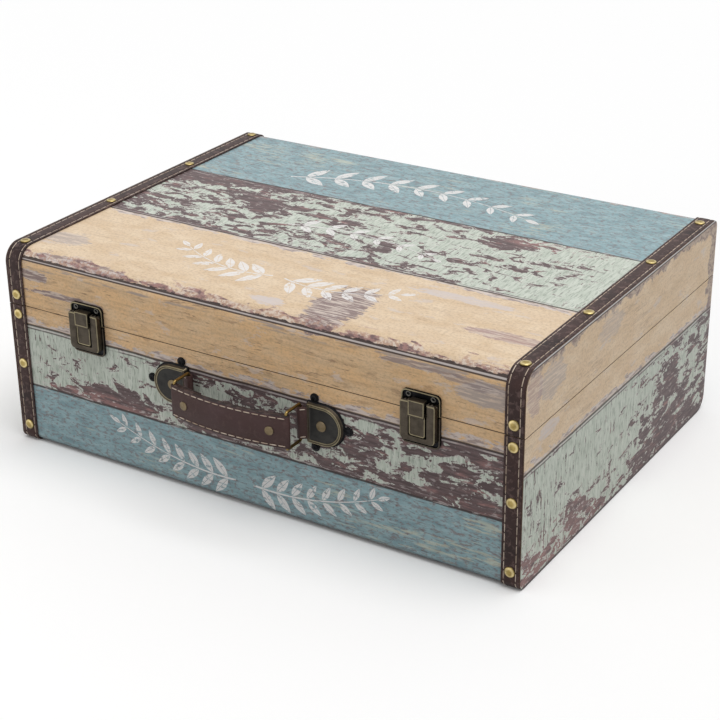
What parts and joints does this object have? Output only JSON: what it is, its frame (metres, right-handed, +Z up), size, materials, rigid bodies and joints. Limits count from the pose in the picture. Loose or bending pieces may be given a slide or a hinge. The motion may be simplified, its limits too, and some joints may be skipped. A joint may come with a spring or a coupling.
{
  "type": "wooden suitcase box",
  "caption": "Wooden suitcase box with a hinged lid, printed plank covering, nailed leatherette end bands, toggle latches on the front and a folding carrying handle.",
  "frame": {"origin": "on the floor, under the middle of the whole object's bounding box", "axes": "+X along the length towards the right end, -Y out of the front that carries the latches and the handle, +Z up"},
  "size_m": [0.44, 0.3588, 0.1644],
  "materials": {
    "base_back_board": "matt brown fibreboard",
    "base_cover_wrap": "printed and worn plank pattern, satin",
    "base_floor_board": "matt brown fibreboard",
    "base_front_board": "matt brown fibreboard",
    "base_left_band": "dark brown leatherette, satin, stitched, with domed brass nails",
    "base_left_board": "matt brown fibreboard",
    "base_left_end_cover": "printed and worn plank pattern, satin",
    "base_lining": "matt dark brown cloth",
    "base_right_band": "dark brown leatherette, satin, stitched, with domed brass nails",
    "base_right_board": "matt brown fibreboard",
    "base_right_end_cover": "printed and worn plank pattern, satin",
    "handle_left_plate": "dark antique bronze",
    "handle_left_plate_rivet": "aged brass",
    "handle_left_ring": "aged brass",
    "handle_left_screw_1": "black domed screw",
    "handle_left_screw_2": "black domed screw",
    "handle_left_screw_3": "black domed screw",
    "handle_left_tab": "dark brown leather, stitched",
    "handle_right_plate": "dark antique bronze",
    "handle_right_plate_rivet": "aged brass",
    "handle_right_ring": "aged brass",
    "handle_right_screw_1": "black domed screw",
    "handle_right_screw_2": "black domed screw",
    "handle_right_screw_3": "black domed screw",
    "handle_right_tab": "dark brown leather, stitched",
    "handle_strap": "dark brown leather, stitched",
    "handle_strap_left_rivet": "aged brass",
    "handle_strap_right_rivet": "aged brass",
    "left_hinge_base_leaf": "dark antique bronze",
    "left_hinge_lid_leaf": "dark antique bronze",
    "left_hinge_pin": "dark antique bronze",
    "left_latch_base_plate": "dark antique bronze",
    "left_latch_lever": "dark antique bronze",
    "left_latch_lever_pin": "dark antique bronze",
    "left_latch_screw_1": "dark antique bronze",
    "left_latch_screw_2": "dark antique bronze",
    "left_latch_strike_plate": "dark antique bronze",
    "left_latch_tongue": "dark antique bronze",
    "lid_back_board": "matt brown fibreboard",
    "lid_cover_wrap": "printed and worn plank pattern, satin",
    "lid_front_board": "matt brown fibreboard",
    "lid_left_band": "dark brown leatherette, satin, stitched, with domed brass nails",
    "lid_left_board": "matt brown fibreboard",
    "lid_left_end_cover": "printed and worn plank pattern, satin",
    "lid_lining": "matt dark brown cloth",
    "lid_right_band": "dark brown leatherette, satin, stitched, with domed brass nails",
    "lid_right_board": "matt brown fibreboard",
    "lid_right_end_cover": "printed and worn plank pattern, satin",
    "lid_top_board": "matt brown fibreboard",
    "right_hinge_base_leaf": "dark antique bronze",
    "right_hinge_lid_leaf": "dark antique bronze",
    "right_hinge_pin": "dark antique bronze",
    "right_latch_base_plate": "dark antique bronze",
    "right_latch_lever": "dark antique bronze",
    "right_latch_lever_pin": "dark antique bronze",
    "right_latch_screw_1": "dark antique bronze",
    "right_latch_screw_2": "dark antique bronze",
    "right_latch_strike_plate": "dark antique bronze",
    "right_latch_tongue": "dark antique bronze"
  },
  "bodies": {
    "base": {"base_back_board": "base_back_board", "base_cover_wrap": "base_cover_wrap", "base_floor_board": "base_floor_board", "base_front_board": "base_front_board", "base_left_band": "base_left_band", "base_left_board": "base_left_board", "base_left_end_cover": "base_left_end_cover", "base_lining": "base_lining", "base_right_band": "base_right_band", "base_right_board": "base_right_board", "base_right_end_cover": "base_right_end_cover", "handle_left_plate": "handle_left_plate", "handle_left_plate_rivet": "handle_left_plate_rivet", "handle_left_screw_1": "handle_left_screw_1", "handle_left_screw_2": "handle_left_screw_2", "handle_left_screw_3": "handle_left_screw_3", "handle_left_tab": "handle_left_tab", "handle_right_plate": "handle_right_plate", "handle_right_plate_rivet": "handle_right_plate_rivet", "handle_right_screw_1": "handle_right_screw_1", "handle_right_screw_2": "handle_right_screw_2", "handle_right_screw_3": "handle_right_screw_3", "handle_right_tab": "handle_right_tab", "left_hinge_base_leaf": "left_hinge_base_leaf", "left_hinge_pin": "left_hinge_pin", "left_latch_base_plate": "left_latch_base_plate", "left_latch_lever_pin": "left_latch_lever_pin", "right_hinge_base_leaf": "right_hinge_base_leaf", "right_hinge_pin": "right_hinge_pin", "right_latch_base_plate": "right_latch_base_plate", "right_latch_lever_pin": "right_latch_lever_pin"},
    "lid": {"left_hinge_lid_leaf": "left_hinge_lid_leaf", "left_latch_screw_1": "left_latch_screw_1", "left_latch_screw_2": "left_latch_screw_2", "left_latch_strike_plate": "left_latch_strike_plate", "lid_back_board": "lid_back_board", "lid_cover_wrap": "lid_cover_wrap", "lid_front_board": "lid_front_board", "lid_left_band": "lid_left_band", "lid_left_board": "lid_left_board", "lid_left_end_cover": "lid_left_end_cover", "lid_lining": "lid_lining", "lid_right_band": "lid_right_band", "lid_right_board": "lid_right_board", "lid_right_end_cover": "lid_right_end_cover", "lid_top_board": "lid_top_board", "right_hinge_lid_leaf": "right_hinge_lid_leaf", "right_latch_screw_1": "right_latch_screw_1", "right_latch_screw_2": "right_latch_screw_2", "right_latch_strike_plate": "right_latch_strike_plate"},
    "left_lever": {"left_latch_lever": "left_latch_lever"},
    "left_tongue": {"left_latch_tongue": "left_latch_tongue"},
    "right_lever": {"right_latch_lever": "right_latch_lever"},
    "right_tongue": {"right_latch_tongue": "right_latch_tongue"},
    "left_ring": {"handle_left_ring": "handle_left_ring"},
    "right_ring": {"handle_right_ring": "handle_right_ring"},
    "strap": {"handle_strap": "handle_strap", "handle_strap_left_rivet": "handle_strap_left_rivet", "handle_strap_right_rivet": "handle_strap_right_rivet"}
  },
  "joints": [
    {"name": "lid_hinge", "type": "hinge", "parent": "base", "child": "lid", "pos_m": [0, 0.17386, 0.116], "axis": [-1, 0, 0], "range_deg": [0, 100]},
    {"name": "left_latch_lever_pivot", "type": "hinge", "parent": "base", "child": "left_lever", "pos_m": [-0.143, -0.15284, 0.1239], "axis": [-1, 0, 0], "range_deg": [0, 70]},
    {"name": "left_latch_tongue_pivot", "type": "hinge", "parent": "left_lever", "child": "left_tongue", "pos_m": [-0.143, -0.15334, 0.1155], "axis": [-1, 0, 0], "range_deg": [-70, 0]},
    {"name": "right_latch_lever_pivot", "type": "hinge", "parent": "base", "child": "right_lever", "pos_m": [0.143, -0.15284, 0.1239], "axis": [-1, 0, 0], "range_deg": [0, 70]},
    {"name": "right_latch_tongue_pivot", "type": "hinge", "parent": "right_lever", "child": "right_tongue", "pos_m": [0.143, -0.15334, 0.1155], "axis": [-1, 0, 0], "range_deg": [-70, 0]},
    {"name": "handle_swing", "type": "hinge", "parent": "base", "child": "left_ring", "pos_m": [-0.048, -0.15374, 0.0857], "axis": [0, 0, 1], "range_deg": [-65, 65]},
    {"name": "handle_right_ring_swing", "type": "hinge", "parent": "base", "child": "right_ring", "pos_m": [0.048, -0.15374, 0.0857], "axis": [0, 0, 1], "range_deg": [-65, 65]},
    {"name": "handle_strap_turn", "type": "hinge", "parent": "left_ring", "child": "strap", "pos_m": [-0.048, -0.17094, 0.0857], "axis": [0, 0, 1], "range_deg": [-65, 65]}
  ],
  "couplings": [
    {"joint": "left_latch_tongue_pivot", "follows": "left_latch_lever_pivot", "ratio": -1},
    {"joint": "right_latch_tongue_pivot", "follows": "right_latch_lever_pivot", "ratio": -1},
    {"joint": "handle_right_ring_swing", "follows": "handle_swing", "ratio": 1},
    {"joint": "handle_strap_turn", "follows": "handle_swing", "ratio": -1}
  ]
}
